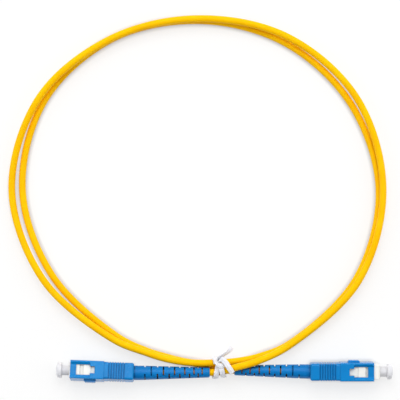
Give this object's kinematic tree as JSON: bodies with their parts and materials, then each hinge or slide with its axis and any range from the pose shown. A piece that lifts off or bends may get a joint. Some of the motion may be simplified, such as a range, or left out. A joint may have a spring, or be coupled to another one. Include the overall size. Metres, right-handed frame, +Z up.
{
  "type": "fiber optic patch cord",
  "caption": "Simplex single-mode patch cord with square push-pull plugs, slotted boots and dust caps, stored as a tied loop.",
  "frame": {"origin": "on the table, midway between the two dust caps of the connectors that lie in line", "axes": "+X from the left connector to the right one, +Y towards the cable loops, +Z up"},
  "size_m": [0.1556, 0.1491, 0.0103],
  "materials": {
    "jacket": "smooth extruded, satin",
    "yarn": "straight yarn",
    "fibre_buffer": "smooth",
    "tie": "ribbed, satin",
    "sleeve": "moulded, glossy",
    "frame": "moulded, satin",
    "ferrule": "polished",
    "flange": "turned",
    "spring": "drawn wire",
    "rear_body": "turned",
    "crimp": "plated",
    "boot": "moulded, satin",
    "cap": "milky, moulded"
  },
  "bodies": {
    "cord": {"cable_jacket": "jacket", "aramid_yarn": "yarn", "optical_fibre": "fibre_buffer", "bundle_tie": "tie", "left_plug_frame": "frame", "left_spring": "spring", "left_rear_body": "rear_body", "left_crimp_ring": "crimp", "left_boot": "boot", "right_plug_frame": "frame", "right_spring": "spring", "right_rear_body": "rear_body", "right_crimp_ring": "crimp", "right_boot": "boot"},
    "left_sleeve_body": {"left_sleeve": "sleeve"},
    "left_ferrule_body": {"left_ferrule": "ferrule", "left_ferrule_flange": "flange"},
    "left_cap_body": {"left_dust_cap": "cap"},
    "right_sleeve_body": {"right_sleeve": "sleeve"},
    "right_ferrule_body": {"right_ferrule": "ferrule", "right_ferrule_flange": "flange"},
    "right_cap_body": {"right_dust_cap": "cap"}
  },
  "joints": [
    {"name": "left_sleeve_slide", "type": "slide", "parent": "cord", "child": "left_sleeve_body", "axis": [0.9993, -0.0384, 0], "range_m": [0, 0.002]},
    {"name": "left_ferrule_push", "type": "slide", "parent": "cord", "child": "left_ferrule_body", "axis": [0.9993, -0.0384, 0], "range_m": [0, 0.0015], "stiffness_N_per_m": 2000, "springref_m": -0.004, "deforming": ["left_spring"]},
    {"name": "left_cap_pull", "type": "slide", "parent": "left_ferrule_body", "child": "left_cap_body", "axis": [-0.9993, 0.0384, 0], "range_m": [0, 0.008]},
    {"name": "right_sleeve_slide", "type": "slide", "parent": "cord", "child": "right_sleeve_body", "axis": [1, 0, 0], "range_m": [0, 0.002]},
    {"name": "right_ferrule_push", "type": "slide", "parent": "cord", "child": "right_ferrule_body", "axis": [-1, 0, 0], "range_m": [0, 0.0015], "stiffness_N_per_m": 2000, "springref_m": -0.004, "deforming": ["right_spring"]},
    {"name": "right_cap_pull", "type": "slide", "parent": "right_ferrule_body", "child": "right_cap_body", "axis": [1, 0, 0], "range_m": [0, 0.008]}
  ]
}
